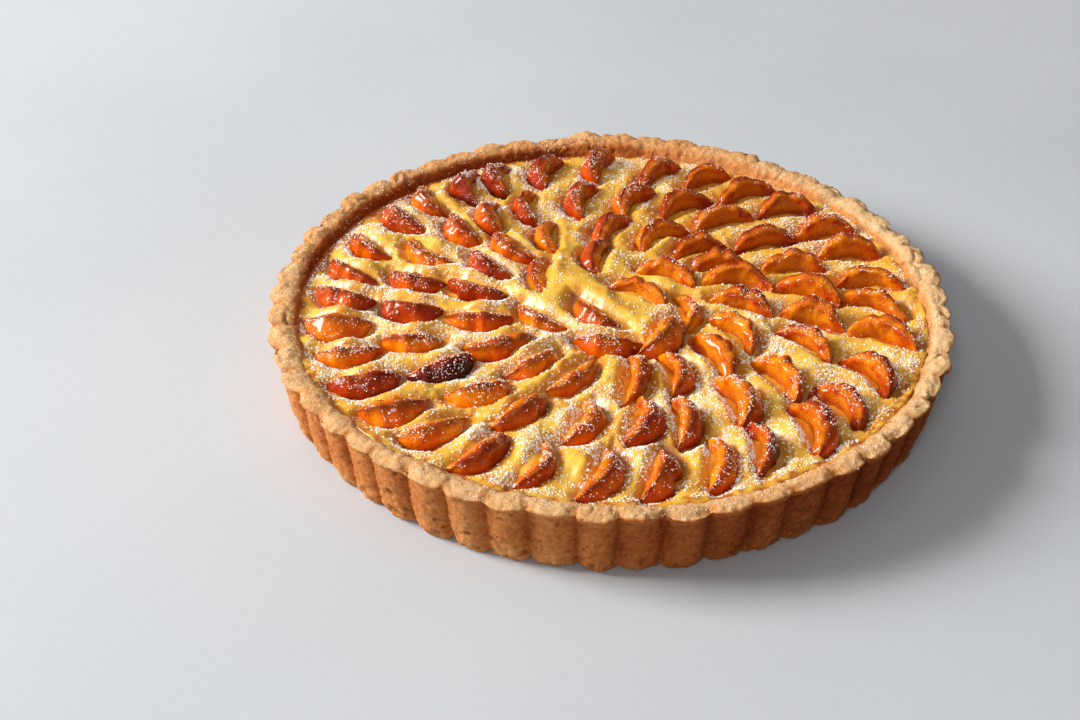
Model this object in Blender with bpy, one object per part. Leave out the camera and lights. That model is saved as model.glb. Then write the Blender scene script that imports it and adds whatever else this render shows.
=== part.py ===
"""Mirabelle plum tart: a fluted shortcrust case, baked custard and halved plums standing in rings.

The origin is at the middle of the flat underside, +Z is up, and the front of the tart faces -Y.
"""

import math

import bmesh
import bpy
import numpy as np

# Driving dimensions, in metres. The case comes from a 28 cm fluted tin.
RIM_RADIUS = 0.140  # on the crests of the flutes, at the rim
FOOT_RADIUS = 0.1352  # on the crests of the flutes, at the foot
HEIGHT = 0.0305
FLUTES = 54
FLUTE_PHASE_DEG = -0.6  # of the first groove, anticlockwise from +X
FLUTE_DEPTH = 0.0031
RIM_WIDTH = 0.0092  # from a crest to the inner edge of the rim
BASE_THICKNESS = 0.004
CUSTARD_LEVEL = 0.0240
GAP = 0.0003  # between solids that touch

PLUM_LENGTH = 0.0295
PLUM_BREADTH = 0.0235  # of the cut face, from edge to edge
PLUM_DEPTH = 0.0112  # from the cut face to the crown of the skin
STONE_HOLLOW = 0.0036
PLUM_SINK = 0.0034  # of the middle of a half, below the custard

# Each ring has its radius, and the angle of every half in it in degrees, anticlockwise from +X.
RINGS = {
    "ring1": (0.1130, (2, 11, 23, 33, 45, 57, 68, 80, 94, 107, 118, 127, 138, 149, 162, 173,
                       183, 194, 204, 215, 226, 236, 247, 258, 270, 281, 292, 302, 314, 324, 337, 350)),
    "ring2": (0.0845, (8, 22, 38, 54, 68, 84, 100, 117, 131, 144, 160, 174,
                       190, 205, 220, 235, 249, 265, 280, 291, 308, 324, 342, 355)),
    "ring3": (0.0565, (0, 18, 33, 49, 68, 92, 120, 140, 158, 177, 200, 221, 240, 258, 281, 299, 319, 338)),
    "ring4": (0.0340, (41, 101, 153, 210, 270, 310, 346)),
    "heart": (0.0150, (20, 251)),
}
# The long axis of a half is turned from the radius by this much. The innermost halves have their own headings.
TURN_DEG = -22
HEADINGS = {"ring4": (-20, 80, 85, 140, 180, 245, 280), "heart": (-27, 139)}
LEAN_DEG = 38  # of a cut face, back from upright
SEPARATE_RINGS = ("ring1", "ring2")  # their halves are solids of their own

PLUM_SEED = 11
CRUST_SEED = 5
COLLECTION = "mirabelle_tart"


def clear_scene():
    for old in list(bpy.data.objects):
        bpy.data.objects.remove(old, do_unlink=True)


def new_collection(name):
    collection = bpy.data.collections.new(name)
    bpy.context.scene.collection.children.link(collection)
    return collection


def new_material(name, colour, roughness):
    """A Principled material with one colour and roughness."""
    material = bpy.data.materials.new(name)
    material.use_nodes = True
    shader = material.node_tree.nodes["Principled BSDF"]
    shader.inputs["Base Color"].default_value = (*colour, 1.0)
    shader.inputs["Roughness"].default_value = roughness
    shader.inputs["Metallic"].default_value = 0.0
    return material


def new_object(name, mesh, collection, material=None):
    obj = bpy.data.objects.new(name, mesh)
    collection.objects.link(obj)
    if material is not None:
        mesh.materials.append(material)
    return obj


def smooth_step(value, low, high):
    """0 below low, 1 above high, and a smooth rise between."""
    t = np.clip((value - low) / (high - low), 0.0, 1.0)
    return t * t * (3.0 - 2.0 * t)


def plum_halves():
    """Where every half stands and how large it is, as a list of dictionaries."""
    rng = np.random.default_rng(PLUM_SEED)
    halves = []
    for ring, (radius, angles) in RINGS.items():
        for number, angle in enumerate(angles):
            turn, lean, pitch, shift, rise = rng.uniform(-1.0, 1.0, 5)
            length, breadth, depth = rng.uniform(-1.0, 1.0, 3)
            if ring in HEADINGS:
                heading = HEADINGS[ring][number]
            else:
                heading = angle + TURN_DEG + 9 * turn
            place = radius + 0.0012 * shift
            halves.append({
                "name": f"plum_{ring}_{number + 1:02d}",
                "ring": ring,
                "x": place * math.cos(math.radians(angle)),
                "y": place * math.sin(math.radians(angle)),
                "z": CUSTARD_LEVEL - PLUM_SINK + 0.0007 * rise,
                "heading": math.radians(heading),
                "lean": math.radians(LEAN_DEG + 8 * lean),
                "pitch": math.radians(6 * pitch),
                "length": PLUM_LENGTH * (1.0 + 0.06 * length),
                "breadth": PLUM_BREADTH * (1.0 + 0.07 * breadth),
                "depth": PLUM_DEPTH * (1.0 + 0.10 * depth),
            })
    return halves


def half_plum_mesh(name, half, grow=0.0):
    """Half a plum about the middle of its depth: long axis X, cut face at -Y, upright edge Z.

    It starts as a sphere with its poles at the tips. The skin side is an ellipsoid, and the other side is
    pushed in to a cut face with the hollow that the stone leaves. A positive grow makes it that much larger.
    """
    bm = bmesh.new()
    bmesh.ops.create_uvsphere(bm, u_segments=8, v_segments=4, radius=1.0)
    for vert in bm.verts:
        along, across, up = vert.co.z, vert.co.x, vert.co.y
        is_cut_face = across < 0.01
        if across >= 0.0:
            across *= half["depth"] + grow
        else:
            across = STONE_HOLLOW * across * across
        if is_cut_face:
            across -= grow
        vert.co = (
            along * (half["length"] / 2 + grow),
            across - half["depth"] / 2,
            up * (half["breadth"] / 2 + grow),
        )
    mesh = bpy.data.meshes.new(name)
    bm.to_mesh(mesh)
    bm.free()
    mesh.shade_smooth()
    return mesh


def place_half(obj, half):
    """Stands the half on its edge, leaning back towards its skin."""
    obj.location = (half["x"], half["y"], half["z"])
    obj.rotation_euler = (-half["lean"], half["pitch"], half["heading"])
    return obj


def lofted_mesh(name, rings):
    """A closed mesh through closed rings of points, with a flat cap on the first and the last.

    Of two rings that follow each other, the larger count is a multiple of the smaller.
    """
    bm = bmesh.new()
    loops = [[bm.verts.new(point) for point in ring] for ring in rings]
    for lower, upper in zip(loops, loops[1:]):
        cells = min(len(lower), len(upper))
        low_step, up_step = len(lower) // cells, len(upper) // cells
        for cell in range(cells):
            low_run = [lower[(cell * low_step + i) % len(lower)] for i in range(low_step + 1)]
            up_run = [upper[(cell * up_step + i) % len(upper)] for i in range(up_step + 1)]
            bm.faces.new(low_run + up_run[::-1])
    bm.faces.new(loops[0][::-1])
    bm.faces.new(loops[-1])
    bmesh.ops.recalc_face_normals(bm, faces=bm.faces[:])
    bmesh.ops.triangulate(bm, faces=bm.faces[:])
    mesh = bpy.data.meshes.new(name)
    bm.to_mesh(mesh)
    bm.free()
    return mesh


def circle(radius, height, angles):
    """Points round the Z axis. The radius and the height are numbers or arrays that go with the angles."""
    radius, height = np.broadcast_to(radius, angles.shape), np.broadcast_to(height, angles.shape)
    return np.stack([radius * np.cos(angles), radius * np.sin(angles), height], axis=1).tolist()


def even_angles(count):
    return np.arange(count) * (2.0 * math.pi / count) + math.radians(FLUTE_PHASE_DEG)


def inner_radius(height):
    """Radius of the case's inner wall, which slopes as the outer one does."""
    slope = (RIM_RADIUS - FOOT_RADIUS) / HEIGHT
    return RIM_RADIUS - RIM_WIDTH - slope * (HEIGHT - height)


# Places along one flute, from groove to groove, closer together at the groove.
FLUTE_STEPS = np.array([0.0, 0.12, 0.36, 0.64, 0.88])


def crust_rings():
    """The case's rings, from the underside, up the fluted wall, over the rim and down to the inside."""
    rng = np.random.default_rng(CRUST_SEED)
    flute_height = rng.uniform(-1.0, 1.0, FLUTES)
    flute_reach = rng.uniform(-1.0, 1.0, FLUTES)
    wave_phase = rng.uniform(0.0, 2.0 * math.pi, 6)

    steps = np.tile(FLUTE_STEPS, FLUTES)
    flute = np.repeat(np.arange(FLUTES), len(FLUTE_STEPS))
    angles = (flute + steps) * (2.0 * math.pi / FLUTES) + math.radians(FLUTE_PHASE_DEG)
    crest = np.sqrt(1.0 - (2.0 * steps - 1.0) ** 2)  # a half round, 0 in the groove and 1 on the crest
    groove = FLUTE_DEPTH * (1.0 - crest)
    waves = sum(np.sin((k + 2) * angles + wave_phase[k]) for k in range(6)) / 6
    top = HEIGHT + 0.0009 * waves + 0.0006 * flute_height[flute] * crest - 0.0008 * (1.0 - crest)
    reach = 0.0004 * flute_reach[flute] * crest
    slope = (RIM_RADIUS - FOOT_RADIUS) / HEIGHT

    def wall(height, out=0.0):
        return FOOT_RADIUS + slope * height - groove + reach + out

    inner = even_angles(FLUTES)
    inner_wave = sum(np.sin((4 * k + 5) * inner + wave_phase[k]) for k in range(6)) / 6
    inner_top = HEIGHT - 0.0004 + 0.0009 * sum(np.sin((k + 2) * inner + wave_phase[k]) for k in range(6)) / 6
    floor_radius = inner_radius(BASE_THICKNESS)
    return [
        circle(FOOT_RADIUS - FLUTE_DEPTH - 0.0008, 0.0, inner),
        circle(wall(0.0016), 0.0016, angles),
        circle(wall(0.0130, -0.0002), 0.0130, angles),
        circle(wall(HEIGHT - 0.0034), HEIGHT - 0.0034, angles),
        circle(wall(HEIGHT, 0.0003), top - 0.0005, angles),
        circle(wall(HEIGHT, -0.0022 + 0.4 * groove), top, angles),
        circle(inner_radius(HEIGHT) + 0.0018 + 0.0006 * inner_wave, inner_top, inner),
        circle(inner_radius(HEIGHT) + 0.0005 * inner_wave, inner_top - 0.0018, inner),
        circle(inner_radius(CUSTARD_LEVEL + 0.0026), CUSTARD_LEVEL + 0.0026, inner),
        circle(floor_radius - 0.0001, BASE_THICKNESS + 0.0022, inner),
        circle(floor_radius - 0.0025, BASE_THICKNESS, inner),
    ]


def custard_top(x, y, halves):
    """Height of the custard: it swells between the halves, sinks beside them and climbs the case's wall."""
    nearest = np.full(np.shape(x), np.inf)
    for half in halves:
        along = (x - half["x"]) * math.cos(half["heading"]) + (y - half["y"]) * math.sin(half["heading"])
        aside = -(x - half["x"]) * math.sin(half["heading"]) + (y - half["y"]) * math.cos(half["heading"])
        beyond = np.maximum(np.abs(along) - 0.4 * half["length"], 0.0)
        nearest = np.minimum(nearest, np.hypot(beyond, aside))
    swell = 0.0030 * smooth_step(nearest, 0.0035, 0.0100) - 0.0012
    ripple = 0.0005 * np.sin(x / 0.0071 + 1.3) * np.sin(y / 0.0083 + 0.4)
    edge = 0.0011 * smooth_step(np.hypot(x, y), inner_radius(CUSTARD_LEVEL) - 0.006, inner_radius(CUSTARD_LEVEL))
    return CUSTARD_LEVEL + swell + ripple + edge


def custard_rings(halves):
    """The custard's rings, from its underside, up its side and in over its uneven top."""
    side = even_angles(FLUTES)
    foot = BASE_THICKNESS + GAP
    rings = [
        circle(inner_radius(BASE_THICKNESS) - 0.0030, foot, side),
        circle(inner_radius(BASE_THICKNESS) - 0.0006, foot + 0.0022, side),
    ]
    rim = inner_radius(CUSTARD_LEVEL) - 1.5 * GAP
    for radius, columns in ((rim, 54), (0.115, 54), (0.102, 54), (0.089, 54), (0.0765, 54), (0.064, 27),
                            (0.052, 27), (0.041, 27), (0.030, 27), (0.019, 9), (0.009, 9)):
        angles = even_angles(columns)
        heights = custard_top(radius * np.cos(angles), radius * np.sin(angles), halves)
        rings.append(circle(radius, heights, angles))
    return rings


def apply_modifiers(obj):
    """Makes the evaluated mesh the object's own."""
    graph = bpy.context.evaluated_depsgraph_get()
    mesh = bpy.data.meshes.new_from_object(obj.evaluated_get(graph))
    obj.modifiers.clear()
    obj.data = mesh


def add_boolean(obj, operation, collection):
    modifier = obj.modifiers.new(operation.lower(), "BOOLEAN")
    modifier.operation = operation
    modifier.operand_type = "COLLECTION"
    modifier.collection = collection
    modifier.solver = "EXACT"
    return modifier


def build_crust(parts):
    """The shortcrust case: fluted wall, uneven rim and flat base, in one piece."""
    material = new_material("shortcrust", (0.62, 0.37, 0.17), 0.85)
    return new_object("crust", lofted_mesh("crust", crust_rings()), parts, material)


def build_custard(parts, halves):
    """The custard, with the inner halves baked into it and a socket round each half that is a solid of its own."""
    material = new_material("custard", (0.86, 0.60, 0.15), 0.4)
    custard = new_object("custard", lofted_mesh("custard", custard_rings(halves)), parts, material)

    fused = new_collection("fused_halves")
    for half in halves:
        if half["ring"] not in SEPARATE_RINGS:
            place_half(new_object(half["name"], half_plum_mesh(half["name"], half), fused), half)
    add_boolean(custard, "UNION", fused)
    bpy.context.view_layer.update()
    apply_modifiers(custard)
    for obj in list(fused.objects):
        bpy.data.objects.remove(obj, do_unlink=True)

    sockets = new_collection("sockets")
    for half in halves:
        if half["ring"] in SEPARATE_RINGS:
            name = half["name"] + "_socket"
            cutter = place_half(new_object(name, half_plum_mesh(name, half, 1.4 * GAP), sockets), half)
            cutter.hide_render = True
            cutter.display_type = "WIRE"
    add_boolean(custard, "DIFFERENCE", sockets)
    return custard


def build_plums(parts, halves):
    """One solid for each half of the two outer rings."""
    material = new_material("plum", (0.72, 0.17, 0.02), 0.3)
    for half in halves:
        if half["ring"] in SEPARATE_RINGS:
            place_half(new_object(half["name"], half_plum_mesh(half["name"], half), parts, material), half)


def main():
    clear_scene()
    parts = new_collection(COLLECTION)
    halves = plum_halves()
    build_crust(parts)
    build_custard(parts, halves)
    build_plums(parts, halves)


main()
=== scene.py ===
"""Looks of the mirabelle plum tart: shortcrust case, custard, halved plums and icing sugar.

Every piece is a surface on a grid of two parameters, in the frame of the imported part: origin in the middle
of the underside, +Z up, front at -Y, metres. The layout has the part's own sizes, angles and seeds.
"""
import math
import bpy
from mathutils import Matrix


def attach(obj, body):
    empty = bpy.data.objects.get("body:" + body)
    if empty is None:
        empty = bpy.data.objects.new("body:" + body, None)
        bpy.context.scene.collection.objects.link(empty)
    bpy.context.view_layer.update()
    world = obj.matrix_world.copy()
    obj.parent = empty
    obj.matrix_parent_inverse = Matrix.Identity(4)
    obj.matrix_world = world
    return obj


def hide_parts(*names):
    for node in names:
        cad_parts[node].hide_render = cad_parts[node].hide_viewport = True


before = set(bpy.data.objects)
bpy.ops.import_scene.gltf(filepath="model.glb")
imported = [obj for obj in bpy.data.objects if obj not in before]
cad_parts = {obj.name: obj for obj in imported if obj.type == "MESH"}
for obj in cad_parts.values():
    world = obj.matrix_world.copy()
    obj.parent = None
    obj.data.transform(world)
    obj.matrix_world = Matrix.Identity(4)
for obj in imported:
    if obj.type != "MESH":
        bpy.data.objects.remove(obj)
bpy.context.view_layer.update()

from types import SimpleNamespace

import bpy
import numpy as np

BODY = "root"

# The case.
RIM_RADIUS = 0.140
FOOT_RADIUS = 0.1352
HEIGHT = 0.0305
WALL_SLOPE = (RIM_RADIUS - FOOT_RADIUS) / HEIGHT
FLUTES = 54
FLUTE_PHASE = math.radians(-0.6)
FLUTE_DEPTH = 0.0031
FLUTE_POWER = 0.56
RIM_WIDTH = 0.0092
RIM_EXTRA = 0.0020
RIM_CROWN = 0.0007
RIM_FALL = 0.0012
LIP_HEIGHT = 0.0030
LIP_REACH = 0.0012
BASE_THICKNESS = 0.004
# Where the rim is broken or sunk: angle and half width in degrees, and depth.
RIM_NOTCHES = ((8, 1.6, 0.0016), (40, 1.2, 0.0012), (103, 3.0, 0.0016), (182, 1.4, 0.0014),
               (-27, 3.4, 0.0012))
CRUST_SEED = 5
CRUST_COLUMNS = FLUTES * 22

# Crumb of the case: height or depth of each pattern, and its size.
LUMP_HEIGHT, LUMP_SIZE = 0.00050, 0.0070
GRAIN_HEIGHT, GRAIN_SIZE = 0.00042, 0.0018
PIT_DEPTH, PIT_SIZE = 0.0010, 0.0030
CRACK_DEPTH, CRACK_SIZE = 0.0005, 0.0075
CHIP_DEPTH, CHIP_SIZE = 0.0007, 0.0060
FOOT_CRUMB_HEIGHT, FOOT_CRUMB_SIZE = 0.0012, 0.0026
RAGGED_HEIGHT, RAGGED_SIZE = 0.0004, 0.0024
PORE_PITCH = 0.0026

# The custard: its level at the case, how high it swells between the halves, and what each side adds.
CUSTARD_LEVEL = 0.0240
CUSTARD_TUCK = 0.0012
SWELL = 0.0030
SWELL_AT_LEFT = 0.0014
SWELL_AT_LEFT_INLAND = 0.0012
SWELL_AT_HEART = 0.0036
SWELL_AT_BACK = -0.0012
SWELL_AT_RIGHT = 0.0007
SUNKEN_DEPTH, SUNKEN_SIZE = 0.0010, 0.017
DOME_HEIGHT = 0.0033
GROOVE_DEPTH = 0.0009
CLIMB = 0.0006
CUSTARD_CELLS = 300

# The halved plums.
PLUM_LENGTH = 0.0295
PLUM_BREADTH = 0.0235
PLUM_DEPTH = 0.0112
PLUM_SINK = 0.0034
PLUM_POWER = 0.64
STONE_HOLLOW = 0.0036
FLESH_LIP = 0.0026
PLUM_SEED = 11
PLUM_ROWS = 45
PLUM_COLUMNS = 64
# Angle of every half in each ring, in degrees anticlockwise from +X, after the ring's radius.
RINGS = {
    "ring1": (0.1130, (2, 11, 23, 33, 45, 57, 68, 80, 94, 107, 118, 127, 138, 149, 162, 173,
                       183, 194, 204, 215, 226, 236, 247, 258, 270, 281, 292, 302, 314, 324, 337, 350)),
    "ring2": (0.0845, (8, 22, 38, 54, 68, 84, 100, 117, 131, 144, 160, 174,
                       190, 205, 220, 235, 249, 265, 280, 291, 308, 324, 342, 355)),
    "ring3": (0.0565, (0, 18, 33, 49, 68, 92, 120, 140, 158, 177, 200, 221, 240, 258, 281, 299, 319, 338)),
    "ring4": (0.0340, (41, 101, 153, 210, 270, 310, 346)),
    "heart": (0.0150, (20, 251)),
}
TURN_DEG = -22
HEADINGS = {"ring4": (-20, 80, 85, 140, 180, 245, 280), "heart": (-27, 139)}
LEAN_DEG = 38
# No half reaches further than this from its centre.
HALF_REACH = 0.028
# Halves that are much riper or less ripe than their neighbours: ring, number and ripeness.
STRIKING = {
    ("ring2", 15): 0.84, ("ring1", 28): 0.80, ("ring3", 6): 0.56, ("ring2", 3): 0.56, ("ring2", 13): 0.52,
    ("ring4", 1): 0.06, ("ring4", 7): 0.08, ("ring4", 6): 0.12, ("heart", 1): 0.12, ("heart", 2): 0.30,
    ("ring1", 20): 0.50, ("ring1", 10): 0.60, ("ring1", 11): 0.62, ("ring3", 9): 0.50, ("ring3", 10): 0.54,
}
# Shrunken skin and torn flesh: height of each pattern, and its size.
FOLD_HEIGHT, FOLD_SIZE = 0.0015, 0.0080
PUCKER_HEIGHT, PUCKER_SIZE = 0.0006, 0.0048
WRINKLE_HEIGHT, WRINKLE_SIZE = 0.0007, 0.0040
FINE_WRINKLE_HEIGHT, FINE_WRINKLE_SIZE = 0.00010, 0.0018
PULP_HEIGHT, PULP_SIZE = 0.00020, 0.0021
FIBRE_HEIGHT, FIBRE_TURN = 0.00055, 0.24

# Icing sugar: number and size of the grains on each food, and specks of the finest sugar.
SUGAR_SEED = 77
CUSTARD_GRAINS, CUSTARD_GRAIN_SIZE = 28000, 0.00042
FRUIT_GRAINS, FRUIT_GRAIN_SIZE = 2000, 0.00033
RIM_GRAINS, RIM_GRAIN_SIZE = 1500, 0.00028
SPECK_SIZE = 0.00065

# Colours, as sRGB codes.
SUGAR_WHITE = "FFF6E4"
# Painted shade: the brown of the crust's pits, pores and cracks.
PIT_SHADE_BROWN = "7A4421"
# Crust colour by how dark it is, from its bake and from painted shade and light.
CRUST_BAKE_AND_SHADE = ((0.0, "FED098"), (0.25, "E8A464"), (0.5, "C87236"), (0.75, "924014"), (1.0, "521C06"))
SKIN_RIPENESS = ((0.0, "F28600"), (0.2, "DE6000"), (0.38, "C44400"), (0.52, "B03406"),
                 (0.66, "8A280A"), (0.80, "5C180C"), (1.0, "340E18"))
FLESH_RIPENESS = ((0.0, "EE8A00"), (0.25, "D05800"), (0.5, "AC3000"), (0.8, "741600"))

# The set.
FLOOR_HALF_SIDE = 4.0
# Square lamps that face the tart: name, place, side, power in watts and tint.
SOFTBOXES = (
    ("window", (-2.52, 0.10, 1.38), 1.1, 127.0, (1.0, 0.97, 0.92)),
    ("fill", (-0.5, -1.9, 1.6), 0.5, 11.0, (0.98, 0.98, 1.0)),
    ("ceiling", (0.0, 0.3, 2.2), 2.2, 5.0, (1.0, 0.98, 0.95)),
)
ROOM_TINT = (1.0, 0.94, 0.87, 1.0)
ROOM_STRENGTH = 0.16
CAMERA_PLACE = (0.0, -0.5229, 0.3774)
CAMERA_TILT = math.radians(53.82)
CAMERA_TURN = math.radians(3.15)
LENS_MM = 50.0
SENSOR_MM = 36.0


# Curves and noise.

def smooth_step(value, low, high):
    """0 below low, 1 above high, and the cubic 3t^2 - 2t^3 between."""
    t = np.clip((value - low) / (high - low), 0.0, 1.0)
    return t * t * (3.0 - 2.0 * t)


def bell(value, width):
    """A bell curve, 1 at 0 and about a third at one width."""
    return np.exp(-((value / width) ** 2))


def facing(angle, degrees, low, high):
    """How nearly an angle points in a direction: a smooth step of the cosine between them."""
    return smooth_step(np.cos(angle - math.radians(degrees)), low, high)


def lattice_noise(points, size, seed):
    """Smooth noise from -1 to 1. Every corner of a cubic lattice has a random value, and a point takes the
    values of the eight corners round it, weighted by smooth steps."""
    cell = np.floor(points / size).astype(np.int64)
    share = points / size - cell
    share = share * share * (3.0 - 2.0 * share)
    values = np.random.default_rng(seed).uniform(-1.0, 1.0, 8192)
    total = np.zeros(points.shape[:-1])
    for corner in np.ndindex(2, 2, 2):
        weight = np.prod(np.where(np.array(corner) == 1, share, 1.0 - share), axis=-1)
        key = (cell + corner) * (73856093, 19349663, 83492791)
        total += weight * values[(key[..., 0] ^ key[..., 1] ^ key[..., 2]) % 8192]
    return total


def rough(points, size, octaves, seed):
    """Lattice noise plus finer copies of itself, each of half the size and half the strength."""
    return sum(lattice_noise(points, size / 2**k, seed + k) / 2**k for k in range(octaves)) / 1.5


# Meshes from grids.

def new_piece(name, points, quads, triangles, attributes, material, body=BODY):
    """An object from an array of points and the numbers of its faces' corners, with values at its points."""
    corners = np.concatenate([quads.ravel(), triangles.ravel()])
    sizes = np.concatenate([np.full(len(quads), 4), np.full(len(triangles), 3)])
    mesh = bpy.data.meshes.new(name)
    mesh.vertices.add(len(points))
    mesh.vertices.foreach_set("co", points.astype(np.float32).ravel())
    mesh.loops.add(len(corners))
    mesh.loops.foreach_set("vertex_index", corners.astype(np.int32))
    mesh.polygons.add(len(sizes))
    mesh.polygons.foreach_set("loop_start", (np.cumsum(sizes) - sizes).astype(np.int32))
    mesh.update(calc_edges=True)
    mesh.shade_smooth()
    for label, values in attributes.items():
        mesh.attributes.new(label, "FLOAT", "POINT").data.foreach_set("value", values.astype(np.float32))
    mesh.materials.append(material)
    piece = bpy.data.objects.new(name, mesh)
    bpy.context.scene.collection.objects.link(piece)
    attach(piece, body)
    return piece


def flat(values):
    """A grid as a list, its first and last rows as one value each: they are poles."""
    return np.concatenate([values[1:-1].reshape(-1, *values.shape[2:]), values[:1, 0], values[-1:, 0]])


def new_skin(name, points, attributes, material):
    """A closed skin over a grid. The columns run round and meet, and the first and the last row are poles."""
    rows, columns = points.shape[:2]
    number = np.arange((rows - 2) * columns).reshape(rows - 2, columns)
    after = np.roll(number, -1, axis=1)
    quads = np.stack([number[:-1], after[:-1], after[1:], number[1:]], axis=-1).reshape(-1, 4)
    first, last = number.size, number.size + 1
    start_fan = np.stack([np.full(columns, first), after[0], number[0]], axis=-1)
    end_fan = np.stack([np.full(columns, last), number[-1], after[-1]], axis=-1)
    values = {label: flat(grid) for label, grid in attributes.items()}
    return new_piece(name, flat(points), quads, np.concatenate([start_fan, end_fan]), values, material)


def grid_normals(points):
    """Unit normals of a grid that meets itself round: the cross product of its slopes round and along."""
    round_slope = np.roll(points, -1, axis=1) - np.roll(points, 1, axis=1)
    normal = np.cross(round_slope, np.gradient(points, axis=0))
    return normal / (np.linalg.norm(normal, axis=-1, keepdims=True) + 1e-12)


# Where the halved plums stand.

def plum_halves():
    """Place, size and ripeness of every half: the part's own rule, with its seed."""
    rng = np.random.default_rng(PLUM_SEED)
    tones = np.random.default_rng(PLUM_SEED + 1)
    halves = []
    for ring, (radius, angles) in RINGS.items():
        for number, angle in enumerate(angles):
            turn, lean, pitch, shift, rise = rng.uniform(-1.0, 1.0, 5)
            length, breadth, depth = rng.uniform(-1.0, 1.0, 3)
            heading = HEADINGS[ring][number] if ring in HEADINGS else angle + TURN_DEG + 9 * turn
            place = radius + 0.0012 * shift
            way = math.radians(angle)
            back = facing(way, 95, 0.1, 1.0) * radius / RINGS["ring1"][0]
            ripe = 0.17 + 0.27 * back + 0.06 * facing(way, 0, 0.0, 0.8) + tones.uniform(-0.18, 0.26)
            halves.append({
                "name": f"plum_{ring}_{number + 1:02d}",
                "centre": np.array([
                    place * math.cos(way),
                    place * math.sin(way),
                    CUSTARD_LEVEL - PLUM_SINK + 0.0007 * rise,
                ]),
                "heading": math.radians(heading),
                "lean": math.radians(LEAN_DEG + 8 * lean),
                "pitch": math.radians(6 * pitch),
                "length": PLUM_LENGTH * (1.0 + 0.06 * length),
                "breadth": PLUM_BREADTH * (1.0 + 0.07 * breadth),
                "depth": PLUM_DEPTH * (1.0 + 0.10 * depth),
                "ripe": STRIKING.get((ring, number + 1), ripe),
                "dome": tones.uniform(0.3, 1.3),
                "seed": 100 * len(halves) + 7,
            })
    return halves


def turning(half):
    """The matrix that leans a half back, pitches it and then turns it to its heading."""
    lean, pitch, heading = -half["lean"], half["pitch"], half["heading"]
    about_x = [[1, 0, 0], [0, math.cos(lean), -math.sin(lean)], [0, math.sin(lean), math.cos(lean)]]
    about_y = [[math.cos(pitch), 0, math.sin(pitch)], [0, 1, 0], [-math.sin(pitch), 0, math.cos(pitch)]]
    about_z = [[math.cos(heading), -math.sin(heading), 0],
               [math.sin(heading), math.cos(heading), 0], [0, 0, 1]]
    return np.array(about_z) @ np.array(about_y) @ np.array(about_x)


def near_half(half, x, y):
    """Which points a half can touch."""
    return np.hypot(x - half["centre"][0], y - half["centre"][1]) < HALF_REACH


def plum_footprint(half, x, y):
    """How far points at the custard's level are from a half, before its cut face, and along it from -1 to 1.

    There the half is a half ellipse, its straight side under the cut face. The distance is from the ellipse
    behind the face and from the line in front of it.
    """
    cos, sin = math.cos(half["heading"]), math.sin(half["heading"])
    dx, dy = x - half["centre"][0], y - half["centre"][1]
    behind = -dx * sin + dy * cos + 0.5 * half["depth"] * math.cos(half["lean"])
    share = (dx * cos + dy * sin) / (0.5 * half["length"])
    skin_way = (np.hypot(share, np.maximum(behind, 0.0) / half["depth"]) - 1.0) * 0.0095
    front_way = np.hypot(np.maximum(np.abs(share) - 0.9, 0.0) * 0.5 * half["length"], behind)
    return np.where(behind > 0.0, skin_way, front_way), -behind, share


# The shortcrust case.

def inner_radius(height):
    """Radius of the case's inside at a height."""
    return RIM_RADIUS - RIM_WIDTH - WALL_SLOPE * (HEIGHT - height)


def rim_notches(angle):
    """How deep the rim is broken or sunk: a bell curve of the angle from each listed place."""
    notch = np.zeros(angle.shape)
    for place, width, depth in RIM_NOTCHES:
        away = np.degrees(np.angle(np.exp(1j * (angle - math.radians(place)))))
        notch += depth * bell(away, width)
    return notch


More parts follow.
